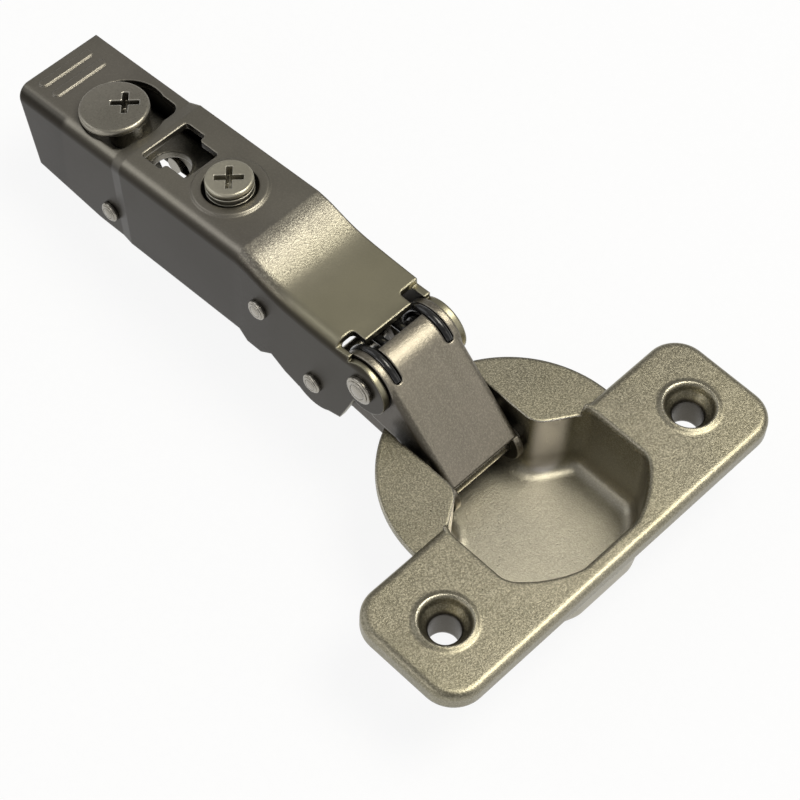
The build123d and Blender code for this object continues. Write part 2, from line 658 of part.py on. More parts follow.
coil_path = coil_plane * Helix(pitch=spring_pitch, height=coil_run, radius=spring_coil_radius)
with BuildPart() as spring_half:
    with BuildLine(leg_plane) as leg_line:
        CenterArc((0, 0), spring_leg_radius, spring_leg_end, spring_leg_turn - spring_leg_end)
        CenterArc(blend_centre, leg_blend_radius, spring_leg_turn, 180)
    with BuildSketch(Plane(origin=leg_line.line @ 0, z_dir=leg_line.line % 0)):
        Circle(wire_radius)
    sweep()
    with BuildSketch(Plane(origin=coil_path @ 0, z_dir=coil_path % 0)):
        Circle(wire_radius)
    sweep(path=coil_path, is_frenet=True)

bridge_drop = stop_top - spring_coil_radius
bridge_reach = -stop_pin_place[0] + pin_radius
bridge_slope = degrees(atan2(-bridge_drop, -stop_pin_place[0]))
bridge_start = arm_place(0, spring_coil_radius)
bridge_direction = (cos(radians(arm_tilt + bridge_slope)), 0, sin(radians(arm_tilt + bridge_slope)))
bridge_plane = Plane(origin=(bridge_start[0], 0, bridge_start[1]), x_dir=bridge_direction,
                     z_dir=(-bridge_direction[2], 0, bridge_direction[0]))
with BuildPart() as torsion_spring:
    add(spring_half.part)
    mirror(about=Plane.XZ)
    with BuildLine(bridge_plane) as bridge_line:
        Line((-spring_joint_gap, bridge_y), (-bridge_reach, bridge_y))
        ThreePointArc((-bridge_reach, bridge_y), (-bridge_reach - bridge_y, 0), (-bridge_reach, -bridge_y))
        Line((-bridge_reach, -bridge_y), (-spring_joint_gap, -bridge_y))
    with BuildSketch(Plane(origin=bridge_line.line @ 0, z_dir=bridge_line.line % 0)):
        Circle(wire_radius)
    sweep()
    with Locations(Plane(origin=bridge_plane.origin, x_dir=(0, 1, 0), z_dir=bridge_plane.x_dir)):
        with Locations((bridge_y, 0), (-bridge_y, 0)):
            Cylinder(wire_radius + spring_joint_swell, spring_joint_length)
torsion_spring.part.label = "torsion_spring"
export_step(torsion_spring.part, "parts/torsion_spring.step")

# Carrier: inner channel that clips on the mounting plate, tilts on its rear pin and slides along it
carrier_under = carrier_top - carrier_sheet
with BuildPart() as mounting_carrier:
    with BuildSketch(arm_side) as carrier_side:
        Polygon((-carrier_rear, carrier_top), (-carrier_front, carrier_top),
                (-carrier_front, carrier_under - carrier_sheet),
                (-carrier_front - carrier_depth / 3, carrier_top - carrier_depth),
                (-carrier_rear + carrier_depth / 3, carrier_top - carrier_depth),
                (-carrier_rear, carrier_under - carrier_sheet), align=None)
    extrude(amount=carrier_half_width, both=True)
    top_edges = mounting_carrier.edges().filter_by(Axis((0, 0, 0), (arm_cos, 0, arm_sin)))
    fillet(top_edges.sort_by(Axis((0, 0, 0), (-arm_sin, 0, arm_cos)))[-2:], carrier_bend)
    with BuildSketch(arm_side):
        with Locations((-arm_rear / 2, carrier_under - arm_top)):
            Rectangle(2 * arm_rear, 2 * arm_top)
    extrude(amount=carrier_half_width - carrier_sheet, both=True, mode=Mode.SUBTRACT)
    with BuildSketch(arm_level(carrier_under - carrier_sheet)) as carrier_holes:
        with Locations((-carrier_window_place, 0)):
            Circle(carrier_window_radius)
        with Locations(cam_pivot):
            Circle(cam_shank_radius + running_clearance)
        with Locations((-side_screw_place, 0)):
            SlotOverall(2 * (side_screw_neck_radius + carrier_slide + side_screw_play),
                        2 * (side_screw_neck_radius + side_screw_play))
    extrude(amount=3 * carrier_sheet, mode=Mode.SUBTRACT)
    with BuildSketch(arm_side):
        with Locations(tilt_pin_place):
            SlotOverall(2 * (pin_radius + carrier_slide + running_clearance),
                        2 * (pin_radius + running_clearance))
        with Locations(hook_pin_place):
            Circle(hook_pin_radius)
        with Locations(lever_pivot_place):
            Circle(lever_pin_radius)
    extrude(amount=2 * arm_half_width, both=True, mode=Mode.SUBTRACT)
mounting_carrier.part.label = "mounting_carrier"
export_step(mounting_carrier.part, "parts/mounting_carrier.step")

hook_place = arm_place(*hook_pin_place)
with BuildPart(Plane(origin=(hook_place[0], 0, hook_place[1]), z_dir=(0, 1, 0))) as hook_pin:
    Cylinder(hook_pin_radius, 2 * carrier_half_width)
    chamfer(hook_pin.edges().filter_by(GeomType.CIRCLE), head_edge_round)
hook_pin.part.label = "hook_pin"
export_step(hook_pin.part, "parts/hook_pin.step")

lever_place = arm_place(*lever_pivot_place)
lever_pivot_plane = Plane(origin=(lever_place[0], 0, lever_place[1]), z_dir=(0, 1, 0))
with BuildPart(lever_pivot_plane) as lever_pin:
    Cylinder(lever_pin_radius, 2 * carrier_half_width)
    chamfer(lever_pin.edges().filter_by(GeomType.CIRCLE), head_edge_round)
lever_pin.part.label = "lever_pin"
export_step(lever_pin.part, "parts/lever_pin.step")

# Release lever: folded latch with a hook for the mounting plate and a pad for the thumb
with BuildPart() as release_lever:
    with BuildSketch(arm_side) as lever_cheek:
        Polygon(*lever_outline, align=None)
        fillet(lever_cheek.vertices(), lever_corner_round)
        with Locations(lever_pivot_place):
            Circle(lever_eye)
    extrude(amount=lever_half_width, both=True)
    with BuildSketch(arm_side):
        with Locations((lever_outline[0][0] + lever_pad_length + arm_rear, 0)):
            Rectangle(2 * arm_rear, 4 * arm_top)
        with Locations((-arm_rear, lever_outline[0][1] + lever_sheet + arm_top)):
            Rectangle(arm_rear, 2 * arm_top)
    extrude(amount=lever_half_width - lever_sheet, both=True, mode=Mode.SUBTRACT)
    with Locations(lever_pivot_plane):
        Cylinder(lever_pin_radius + running_clearance, 4 * arm_half_width, mode=Mode.SUBTRACT)
release_lever.part.label = "release_lever"
export_step(release_lever.part, "parts/release_lever.step")

lever_spring_pitch = lever_spring_wire * 1.1
lever_spring_run = lever_spring_turns * lever_spring_pitch
lever_spring_plane = Plane(origin=(lever_place[0], lever_spring_run / 2, lever_place[1]),
                           x_dir=(-arm_sin, 0, arm_cos), z_dir=(0, -1, 0))
lever_coil = lever_spring_plane * Helix(pitch=lever_spring_pitch, height=lever_spring_run,
                                        radius=lever_spring_radius)
with BuildPart() as lever_spring:
    with BuildSketch(Plane(origin=lever_coil @ 0, z_dir=lever_coil % 0)):
        Circle(lever_spring_wire / 2)
    sweep(path=lever_coil, is_frenet=True)
    for end in (0, 1):
        leg_start = lever_coil @ end
        leg_axis = (lever_coil % end) * (1 if end else -1)
        with BuildSketch(Plane(origin=leg_start, z_dir=leg_axis)):
            Circle(lever_spring_wire / 2)
        extrude(amount=lever_spring_leg)
lever_spring.part.label = "lever_spring"
export_step(lever_spring.part, "parts/lever_spring.step")


def cross_recess(place, level):
    """Cross-shaped driver recess sunk from a level, about a place in the arm's plan."""
    with BuildPart() as recess:
        with BuildSketch(arm_level(level)) as cross:
            with Locations(place):
                Rectangle(2 * recess_arm_length, recess_arm_width, rotation=45)
                Rectangle(2 * recess_arm_length, recess_arm_width, rotation=-45)
        extrude(amount=-recess_depth, taper=recess_taper)
    return recess.part


# Depth screw: eccentric disc over a stepped collar, its shank riveted in the carrier
cam_top = cam_floor + cam_disc_height
cam_seat = carrier_top + running_clearance
with BuildPart() as cam_screw:
    with BuildSketch(arm_level(cam_floor)):
        with Locations(cam_centre):
            Circle(cam_disc_radius)
    extrude(amount=cam_disc_height)
    fillet(cam_screw.faces().sort_by(Axis((0, 0, 0), (-arm_sin, 0, arm_cos)))[-1].edges(), cam_disc_round)
    with BuildSketch(arm_level(cam_floor - cam_collar_height)):
        with Locations(cam_pivot):
            Circle(cam_collar_radius)
    extrude(amount=cam_collar_height)
    with BuildSketch(arm_level(cam_seat)):
        with Locations(cam_pivot):
            Circle(cam_collar_step)
    extrude(amount=cam_floor - cam_collar_height - cam_seat)
    shank_end = carrier_under - running_clearance - cam_washer_height
    with BuildSketch(arm_level(shank_end)):
        with Locations(cam_pivot):
            Circle(cam_shank_radius)
    extrude(amount=cam_seat - shank_end)
    add(cross_recess(cam_pivot, cam_top), mode=Mode.SUBTRACT)
cam_screw.part.label = "cam_screw"
export_step(cam_screw.part, "parts/cam_screw.step")

with BuildPart() as cam_washer:
    with BuildSketch(arm_level(shank_end)):
        with Locations(cam_pivot):
            Circle(cam_washer_radius)
            Circle(cam_shank_radius, mode=Mode.SUBTRACT)
    extrude(amount=cam_washer_height)
cam_washer.part.label = "cam_washer"
export_step(cam_washer.part, "parts/cam_washer.step")

# Side screw: threaded through the arm's collar, its neck held in the carrier's slot
side_screw_top = arm_top + side_screw_rise
side_shoulder = carrier_top + side_screw_travel
side_foot_top = carrier_under - side_screw_travel
with BuildPart() as side_screw:
    with BuildSketch(arm_level(side_shoulder)):
        with Locations((-side_screw_place, 0)):
            Circle(side_screw_radius)
    extrude(amount=side_screw_top - side_shoulder)
    fillet(side_screw.faces().sort_by(Axis((0, 0, 0), (-arm_sin, 0, arm_cos)))[-1].edges(), groove_depth)
    for turn in range(groove_count):
        with BuildSketch(arm_level(side_screw_top - groove_pitch * (turn + 1) - groove_height / 2)):
            with Locations((-side_screw_place, 0)):
                Circle(side_screw_radius)
                Circle(side_screw_radius - groove_depth, mode=Mode.SUBTRACT)
        extrude(amount=groove_height, mode=Mode.SUBTRACT)
    with BuildSketch(arm_level(side_foot_top)):
        with Locations((-side_screw_place, 0)):
            Circle(side_screw_neck_radius)
    extrude(amount=side_shoulder - side_foot_top)
    with BuildSketch(arm_level(side_foot_top - side_screw_foot_height)):
        with Locations((-side_screw_place, 0)):
            Circle(side_screw_foot_radius)
    extrude(amount=side_screw_foot_height)
    add(cross_recess((-side_screw_place, 0), side_screw_top), mode=Mode.SUBTRACT)
side_screw.part.label = "side_screw"
export_step(side_screw.part, "parts/side_screw.step")
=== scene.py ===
import math
import bmesh
import bpy
from mathutils import Matrix, Vector


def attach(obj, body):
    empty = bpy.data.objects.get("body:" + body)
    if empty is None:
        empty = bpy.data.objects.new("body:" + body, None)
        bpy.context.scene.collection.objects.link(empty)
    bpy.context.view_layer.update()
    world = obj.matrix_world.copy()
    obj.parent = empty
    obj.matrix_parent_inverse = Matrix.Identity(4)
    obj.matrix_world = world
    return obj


# Looks of the concealed cup hinge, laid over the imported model; metres, same frame as the model
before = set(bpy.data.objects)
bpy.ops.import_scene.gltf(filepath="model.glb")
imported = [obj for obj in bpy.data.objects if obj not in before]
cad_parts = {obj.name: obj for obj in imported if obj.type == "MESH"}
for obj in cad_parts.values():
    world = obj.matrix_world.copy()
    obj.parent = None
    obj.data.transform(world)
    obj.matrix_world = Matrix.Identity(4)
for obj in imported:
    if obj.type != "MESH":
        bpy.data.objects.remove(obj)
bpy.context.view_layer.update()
scene = bpy.context.scene
scene.view_settings.view_transform = "Standard"
print("stage: packed hinge loaded,", len(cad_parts), "nodes")


class Flow:
    # one socket of a shader tree, so that its maths reads like plain sums

    def __init__(self, tree, socket):
        self.tree = tree
        self.socket = socket

    def add(self, kind, inputs=None, out=0, **settings):
        made = self.tree.nodes.new(kind)
        for key, value in settings.items():
            setattr(made, key, value)
        for key, value in (inputs or {}).items():
            if isinstance(value, Flow):
                self.tree.links.new(value.socket, made.inputs[key])
            else:
                made.inputs[key].default_value = value
        return Flow(self.tree, made.outputs[out])

    def sum(self, operation, *terms):
        return self.add("ShaderNodeMath", dict(enumerate(terms)), operation=operation)

    def __add__(self, other):
        return self.sum("ADD", self, other)

    def __sub__(self, other):
        return self.sum("SUBTRACT", self, other)

    def __mul__(self, other):
        return self.sum("MULTIPLY", self, other)

    def __radd__(self, other):
        return self.sum("ADD", other, self)

    def __rsub__(self, other):
        return self.sum("SUBTRACT", other, self)

    def __rmul__(self, other):
        return self.sum("MULTIPLY", other, self)

    def held(self):
        return self.sum("MAXIMUM", self.sum("MINIMUM", self, 1.0), 0.0)

    def ramp(self, low, high):
        # 0 below low, 1 above high, smooth between
        return self.add("ShaderNodeMapRange", {"Value": self, "From Min": low, "From Max": high},
                        interpolation_type="SMOOTHSTEP")


def mixColour(tree, amount, start, end):
    # sockets 6 and 7 of the Mix node are its two colours
    made = tree.nodes.new("ShaderNodeMix")
    made.data_type = "RGBA"
    for socket, value in ((made.inputs["Factor"], amount), (made.inputs[6], start), (made.inputs[7], end)):
        if isinstance(value, Flow):
            tree.links.new(value.socket, socket)
        elif hasattr(value, "__len__"):
            socket.default_value = (*value[:3], 1.0)
        else:
            socket.default_value = value
    return Flow(tree, made.outputs[2])


def startMaterial(name):
    made = bpy.data.materials.new(name)
    made.use_nodes = True
    tree = made.node_tree
    shader = tree.nodes["Principled BSDF"]
    coords = Flow(tree, tree.nodes.new("ShaderNodeTexCoord").outputs["Object"])
    return made, tree, shader, coords


def joinTo(tree, shader, **flows):
    for key, value in flows.items():
        tree.links.new(value.socket, shader.inputs[key])


def noise(coords, scale, detail=2.0, roughness=0.5):
    return coords.add("ShaderNodeTexNoise", {"Vector": coords, "Scale": scale, "Detail": detail,
                                             "Roughness": roughness})


def stretched(coords, scale, turn):
    # coordinates for lines that run along the piece
    return coords.add("ShaderNodeMapping", {"Vector": coords, "Scale": scale, "Rotation": (0.0, turn, 0.0)})


def split(vector):
    # X, Y and Z of a vector
    parts = vector.add("ShaderNodeSeparateXYZ", {"Vector": vector}).socket.node
    return [Flow(vector.tree, parts.outputs[axis]) for axis in "XYZ"]


# How every plated finish is mixed: noise detail and roughness, thresholds and small blurs, in metres
plateMix = {
    "grain": (2.0, 0.65), "fine": (1.0, 0.5), "fineScale": 2.7, "cloud": (3.0, 0.55), "tint": (1.0, 0.5),
    "tintScale": 0.45, "lines": (1.0, 2.0, 0.6), "cloudSpan": (0.32, 0.68), "tintSpan": (0.35, 0.65),
    "lineSpan": (0.35, 0.7), "spotGrain": 0.65, "spotFine": 0.35, "edgeSpan": (0.015, 0.2), "edgeSamples": 8,
    "creaseSpan": (0.25, 0.85), "creaseSamples": 6, "ribSpan": (0.85, 0.985), "stepBlur": 0.001,
    "boreBlur": 0.0003, "middle": 0.5, "bumpFine": 0.5, "bumpDistance": 0.0001, "ior": 1.5,
}


def behind(along, end):
    # 1 behind a place along X, 0 ahead of it
    return 1.0 - along.ramp(end - plateMix["stepBlur"], end)


def sandyShare(along, recipe):
    # coarse grain on one stretch along X and nearly none elsewhere, or the same on all the piece
    if not recipe.get("sandyFrom"):
        return 1.0
    first, last, blur = recipe["sandyFrom"], recipe["sandyTo"], recipe["sandyBlur"]
    stretch = along.ramp(first - blur, first + blur) * (1.0 - along.ramp(last - blur, last + blur))
    return recipe["sandyRest"] + stretch * (1.0 - recipe["sandyRest"])


def grainTone(tree, noises, sandy, recipe):
    # cloudy ground with bright spots, pits and drawn lines
    grain, fine, cloud, tint, lines = noises
    spots = (grain * plateMix["spotGrain"] + fine * plateMix["spotFine"]).ramp(recipe["spotLow"],
                                                                                recipe["spotHigh"])
    tone = mixColour(tree, cloud.ramp(*plateMix["cloudSpan"]), recipe["shade"], recipe["base"])
    tone = mixColour(tree, tint.ramp(*plateMix["tintSpan"]) * recipe["tintAmount"], tone, recipe["tint"])
    tone = mixColour(tree, spots * sandy * recipe["spotAmount"], tone, recipe["spotColour"])
    tone = mixColour(tree, (1.0 - spots) * sandy * recipe["pitAmount"], tone, recipe["pitColour"])
    drawn = lines.ramp(*plateMix["lineSpan"])
    return mixColour(tree, drawn * recipe["lineAmount"], tone, recipe["lineColour"])


def placeTone(tree, tone, coords, normal, rounded, recipe):
    # tones that belong to one place of a piece; a recipe without an amount goes without that tone
    along, _, above = split(coords)
    if recipe.get("warmAmount"):  # past one place along X the plate turns warmer
        warm = along.ramp(recipe["warmFrom"], recipe["warmTo"])
        tone = mixColour(tree, warm * recipe["warmAmount"], tone, recipe["warmColour"])
    if recipe.get("deepLightAmount"):  # painted light: low in the drawn pocket, the bottom and walls are painted brighter
        deep = 1.0 - above.ramp(recipe["deepLow"], recipe["deepHigh"])
        tone = mixColour(tree, deep * recipe["deepLightAmount"], tone, recipe["deepLightColour"])
    if recipe.get("ribShadeAmount"):  # painted shade on the slopes of the pressed ribs near the rear end, dimming their highlights
        slope = 1.0 - split(normal)[2].ramp(*plateMix["ribSpan"])
        tone = mixColour(tree, behind(along, recipe["ribEnd"]) * slope * recipe["ribShadeAmount"], tone,
                         recipe["ribSlopeShade"])
    if recipe.get("paintedWallAmount"):  # painted wall tone: both walls across Y, or those that face ahead along X, take a painted shade or a painted light
        ahead, aside = split(rounded)[:2]
        facing = ahead if recipe["sideAxis"] == "X" else aside.sum("ABSOLUTE", aside)
        wall = facing.ramp(recipe["sideLow"], recipe["sideHigh"])
        if recipe.get("sideEnd"):
            wall = wall * behind(along, recipe["sideEnd"])
        tone = mixColour(tree, wall * recipe["paintedWallAmount"], tone, recipe["paintedWallTone"])
    return tone


def boreShadeTone(tree, tone, coords, recipe):
    # painted shade inside the screw bores
    along, beside = split(coords)[:2]
    away = along - recipe["boreAt"][0]
    offLine = beside.sum("ABSOLUTE", beside) - recipe["boreAt"][1]
    reach = offLine.sum("SQRT", away * away + offLine * offLine)
    bore = 1.0 - reach.ramp(recipe["boreRadius"], recipe["boreRadius"] + plateMix["boreBlur"])
    return mixColour(tree, bore * recipe["boreShadeAmount"], tone, recipe["creaseShadeColour"])


def platedSteel(name, recipe):
    # satin nickel plate: sandy grain, cloudy tone, painted shade in the creases and painted highlights on the
    # rounded edges
    made, tree, shader, coords = startMaterial(name)
    grain = noise(coords, recipe["grainScale"], *plateMix["grain"])
    fine = noise(coords, recipe["grainScale"] * plateMix["fineScale"], *plateMix["fine"])
    cloud = noise(coords, recipe["cloudScale"], *plateMix["cloud"])
    tint = noise(coords, recipe["cloudScale"] * plateMix["tintScale"], *plateMix["tint"])
    lines = noise(stretched(coords, recipe["lineScale"], recipe["lineTurn"]), *plateMix["lines"])
    normal = Flow(tree, tree.nodes.new("ShaderNodeNewGeometry").outputs["Normal"])
    rounded = coords.add("ShaderNodeBevel", {"Radius": recipe["edgeRadius"]}, samples=plateMix["edgeSamples"])
    turned = coords.add("ShaderNodeVectorMath", {0: rounded, 1: normal}, out="Value", operation="DOT_PRODUCT")
    edge = (1.0 - turned).ramp(*plateMix["edgeSpan"])
    # painted shade: ambient occlusion finds the creases, which are darkened below
    crease = coords.add("ShaderNodeAmbientOcclusion", {"Distance": recipe["creaseDepth"]}, out="AO",
                        samples=plateMix["creaseSamples"]).ramp(*plateMix["creaseSpan"])
    sandy = sandyShare(split(coords)[0], recipe)
    tone = grainTone(tree, (grain, fine, cloud, tint, lines), sandy, recipe)
    tone = placeTone(tree, tone, coords, normal, rounded, recipe)
    # painted shade in the creases
    tone = mixColour(tree, (1.0 - crease) * recipe["creaseShadeAmount"], tone, recipe["creaseShadeColour"])
    # painted shade inside the screw bores
    if recipe.get("boreShadeAmount"):
        tone = boreShadeTone(tree, tone, coords, recipe)
    # painted highlight along the rounded edges, kept out of the creases
    tone = mixColour(tree, edge * crease * recipe["edgeHighlightAmount"], tone, recipe["edgeHighlightColour"])
    rough = recipe["rough"] + (cloud - plateMix["middle"]) * recipe["roughCloud"]
    rough = rough + (grain - plateMix["middle"]) * sandy * recipe["roughGrain"]
    rough = (rough - edge * recipe["edgePolish"]).held()
    height = (grain + fine * plateMix["bumpFine"]) * sandy * recipe["grainDepth"]
    height = height + lines * recipe["lineDepth"]
    bump = coords.add("ShaderNodeBump", {"Strength": recipe["bump"], "Distance": plateMix["bumpDistance"],
                                         "Height": height, "Normal": rounded})
    shader.inputs["Metallic"].default_value = recipe["metallic"]
    shader.inputs["IOR"].default_value = plateMix["ior"]
    joinTo(tree, shader, **{"Base Color": tone, "Roughness": rough, "Normal": bump})
    return made


def blackSteel(name, recipe):
    # oiled black spring wire with a worn shine
    made, tree, shader, coords = startMaterial(name)
    grain = noise(coords, recipe["grainScale"], *recipe["grain"])
    cloud = noise(coords, recipe["cloudScale"])
    tone = mixColour(tree, grain.ramp(*recipe["wornSpan"]), recipe["base"], recipe["worn"])
    rough = (recipe["rough"] + (cloud - plateMix["middle"]) * recipe["roughCloud"]).held()
    bump = coords.add("ShaderNodeBump", {"Strength": recipe["bump"], "Distance": plateMix["bumpDistance"],
                                         "Height": grain})
    shader.inputs["Metallic"].default_value = recipe["metallic"]
    shader.inputs["Coat Weight"].default_value = recipe["coat"]
    shader.inputs["Coat Roughness"].default_value = recipe["coatRough"]
    joinTo(tree, shader, **{"Base Color": tone, "Roughness": rough, "Normal": bump})
    return made


def dress(node, material):
    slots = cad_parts[node].data.materials
    slots.clear()
    slots.append(material)


# Finish of the cup and its screw plate: warm satin nickel with a sandy grain, painted shade in the screw
# bores, and painted light low in the pocket and on the walls facing ahead
cupFinish = {
    "base": (0.27, 0.248, 0.173), "shade": (0.225, 0.208, 0.148), "cloudScale": 120.0,
    "tint": (0.265, 0.243, 0.193), "tintAmount": 0.5,
    "grainScale": 4200.0, "grainDepth": 1.0, "spotLow": 0.44, "spotHigh": 0.6, "spotAmount": 0.5,
    "spotColour": (0.46, 0.43, 0.33), "pitAmount": 0.42, "pitColour": (0.16, 0.148, 0.105),
    # painted light low in the pocket
    "deepLightAmount": 0.5, "deepLow": -0.0085, "deepHigh": 0.001, "deepLightColour": (0.50, 0.47, 0.39),
    # painted light on the cup walls that face ahead along X
    "paintedWallAmount": 1.0, "paintedWallTone": (0.97, 0.93, 0.90), "sideEnd": -0.0004,
    "sideAxis": "X", "sideLow": 0.3, "sideHigh": 0.7,
    "lineScale": (900.0, 60.0, 900.0), "lineTurn": 0.0,
    "lineAmount": 0.06, "lineColour": (0.5, 0.47, 0.38), "lineDepth": 0.2,
    # painted highlight on the rounded edges
    "edgeRadius": 0.0006, "edgeHighlightAmount": 0.45, "edgeHighlightColour": (0.74, 0.71, 0.62), "edgePolish": 0.12,
    # painted shade in the creases
    "creaseDepth": 0.0022, "creaseShadeAmount": 0.5, "creaseShadeColour": (0.06, 0.053, 0.044),
    # painted shade inside the screw bores
    "boreShadeAmount": 0.9, "boreAt": (0.0095, 0.0225), "boreRadius": 0.0022,
    "rough": 0.35, "roughCloud": 0.10, "roughGrain": 0.3, "bump": 0.26, "metallic": 0.95,
}
platedCup = platedSteel("warmNickelCup", cupFinish)
dress("hinge_cup", platedCup)

# Finish of the folded arm: cooler, sandy only after the ridge, warmer at the front, its walls painted darker
# as shade
armFinish = {
    "base": (0.24, 0.222, 0.19), "shade": (0.20, 0.185, 0.16), "cloudScale": 90.0,
    "tint": (0.235, 0.222, 0.175), "tintAmount": 0.5,
    "grainScale": 3600.0, "grainDepth": 1.2, "spotLow": 0.46, "spotHigh": 0.62, "spotAmount": 0.4,
    "spotColour": (0.56, 0.54, 0.44), "pitAmount": 0.25, "pitColour": (0.12, 0.11, 0.09),
    "sandyFrom": -0.0433, "sandyTo": -0.0365, "sandyBlur": 0.0012, "sandyRest": 0.14,
    "lineScale": (60.0, 900.0, 700.0), "lineTurn": 0.1,
    "lineAmount": 0.08, "lineColour": (0.28, 0.26, 0.23), "lineDepth": 0.15,
    # painted highlight on the rounded edges
    "edgeRadius": 0.0004, "edgeHighlightAmount": 0.25, "edgeHighlightColour": (0.50, 0.47, 0.41), "edgePolish": 0.0,
    "warmFrom": -0.043, "warmTo": -0.030, "warmAmount": 0.7, "warmColour": (0.30, 0.28, 0.185),
    # painted shade in the creases
    "creaseDepth": 0.003, "creaseShadeAmount": 0.75, "creaseShadeColour": (0.03, 0.027, 0.024),
    "rough": 0.36, "roughCloud": 0.10, "roughGrain": 0.3, "bump": 0.3, "metallic": 0.95,
    # painted shade on the arm's side walls
    "paintedWallAmount": 0.95, "paintedWallTone": (0.024, 0.020, 0.015), "sideAxis": "Y", "sideLow": 0.5,
    "sideHigh": 0.95,
    # painted shade on the rib slopes near the rear end
    "ribShadeAmount": 0.85, "ribSlopeShade": (0.06, 0.056, 0.048), "ribEnd": -0.078,
}
platedArm = platedSteel("satinNickelArm", armFinish)
dress("hinge_arm", platedArm)

# Finish of the links: warm and even, with faint marks from the strip, painted shade on the side walls and
# painted highlights on the edges
linkFinish = dict(armFinish, base=(0.235, 0.212, 0.168), shade=(0.20, 0.182, 0.145), lineAmount=0.16,
                  tint=(0.235, 0.21, 0.178), lineScale=(70.0, 1500.0, 70.0), lineColour=(0.30, 0.275, 0.225),
                  lineDepth=0.3, spotAmount=0.4, spotColour=(0.36, 0.335, 0.275), pitAmount=0.3,
                  pitColour=(0.14, 0.126, 0.10), sandyFrom=None, warmAmount=0.0, ribShadeAmount=0.0, rough=0.36,
                  paintedWallAmount=0.8, paintedWallTone=(0.05, 0.043, 0.036), edgeHighlightAmount=0.5, creaseDepth=0.002)
platedLink = platedSteel("drawnNickelLink", linkFinish)
dress("outer_link", platedLink)
dress("inner_link", platedLink)

# Finish of the inner carrier and latch, in the shade of the arm, with a light painted shade on its side walls
carrierFinish = dict(armFinish, base=(0.27, 0.25, 0.215), shade=(0.22, 0.205, 0.18), paintedWallAmount=0.3,
                     ribShadeAmount=0.0, sandyFrom=None, warmAmount=0.0, spotAmount=0.2, pitAmount=0.15)
platedCarrier = platedSteel("satinNickelCarrier", carrierFinish)
for node in ("mounting_carrier", "release_lever"):
    dress(node, platedCarrier)

# Finish of the turned pins, with faint turning marks and painted highlights on the edges
pinFinish = dict(carrierFinish, base=(0.42, 0.395, 0.345), shade=(0.34, 0.32, 0.28), paintedWallAmount=0.0,
                 rough=0.25, lineAmount=0.12, edgeHighlightAmount=0.6, edgeRadius=0.00012, bump=0.08,
                 spotAmount=0.08, pitAmount=0.06, creaseDepth=0.0006)
turnedPin = platedSteel("turnedPinSteel", pinFinish)
for node in ("cup_pin_outer", "cup_pin_inner", "cup_pin_washers", "arm_pin_outer", "arm_pin_inner",
             "spring_stop_pin", "tilt_pin", "hook_pin", "lever_pin", "cam_washer"):
    dress(node, turnedPin)

# Finish of the depth screw's disc, with strong painted highlights on its edges, and the brighter one of the
# side screw
discFinish = dict(carrierFinish, base=(0.40, 0.375, 0.322), shade=(0.34, 0.318, 0.272), paintedWallAmount=0.0,
                  rough=0.33, lineAmount=0.04, edgeHighlightAmount=0.7, edgeRadius=0.0004, bump=0.1,
                  edgeHighlightColour=(0.88, 0.86, 0.78), spotAmount=0.08, pitAmount=0.05, creaseShadeAmount=0.5)
dress("cam_screw", platedSteel("satinDiscNickel", discFinish))
screwFinish = dict(discFinish, base=(0.64, 0.61, 0.49), shade=(0.55, 0.52, 0.42), rough=0.4,
                   edgeRadius=0.0002, creaseShadeAmount=0.35, creaseDepth=0.0012)
dress("side_screw", platedSteel("polishedScrewNickel", screwFinish))

# Springs and their sleeve
springFinish = {
    "base": (0.008, 0.008, 0.008), "worn": (0.03, 0.029, 0.027), "wornSpan": (0.45, 0.75),
    "grainScale": 2500.0, "grain": (2.0, 0.6), "cloudScale": 300.0, "rough": 0.24, "roughCloud": 0.16,
    "bump": 0.2, "metallic": 0.35, "coat": 0.4, "coatRough": 0.12,
}
oiledSpring = blackSteel("oiledSpringBlack", springFinish)
for node in ("torsion_spring", "spring_bush", "lever_spring"):
    dress(node, oiledSpring)
print("stage: finishes set")


mergeDistance = 1e-7  # corners nearer than this are one corner


def newTree(name, sizes):
    # geometry tree with one named input for each size
    tree = bpy.data.node_groups.new(name, "GeometryNodeTree")
    tree.interface.new_socket("Geometry", in_out="INPUT", socket_type="NodeSocketGeometry")
    for label, value in sizes.items():
        tree.interface.new_socket(label, in_out="INPUT", socket_type="NodeSocketFloat").default_value = value
    tree.interface.new_socket("Geometry", in_out="OUTPUT", socket_type="NodeSocketGeometry")
    start = tree.nodes.new("NodeGroupInput")
    return tree, {socket.name: Flow(tree, socket) for socket in start.outputs if socket.name}


def closeTree(tree, shape, material):
    whole = shape.add("GeometryNodeRealizeInstances", {"Geometry": shape})
    smooth = whole.add("GeometryNodeSetShadeSmooth", {"Geometry": whole})
    dressed = smooth.add("GeometryNodeSetMaterial", {"Geometry": smooth, "Material": material})
    tree.links.new(dressed.socket, tree.nodes.new("NodeGroupOutput").inputs[0])


def grow(name, tree, carrier, sizes, body):
    # run the tree on a carrier mesh and keep the result as a plain piece that rides on a body
    piece = bpy.data.objects.new(name, carrier)
    scene.collection.objects.link(piece)
    modifier = piece.modifiers.new(name, "NODES")
    modifier.node_group = tree
    for socket in tree.interface.items_tree:
        if socket.in_out == "INPUT" and socket.name in sizes:
            modifier[socket.identifier] = sizes[socket.name]
    bpy.context.view_layer.update()
    plain = bpy.data.meshes.new_from_object(piece.evaluated_get(bpy.context.evaluated_depsgraph_get()))
    piece.modifiers.remove(modifier)
    piece.data = plain
    shell = bmesh.new()
    shell.from_mesh(plain)
    bmesh.ops.remove_doubles(shell, verts=shell.verts, dist=mergeDistance)
    bmesh.ops.recalc_face_normals(shell, faces=shell.faces)
    shell.to_mesh(plain)
    shell.free()
    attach(piece, body)


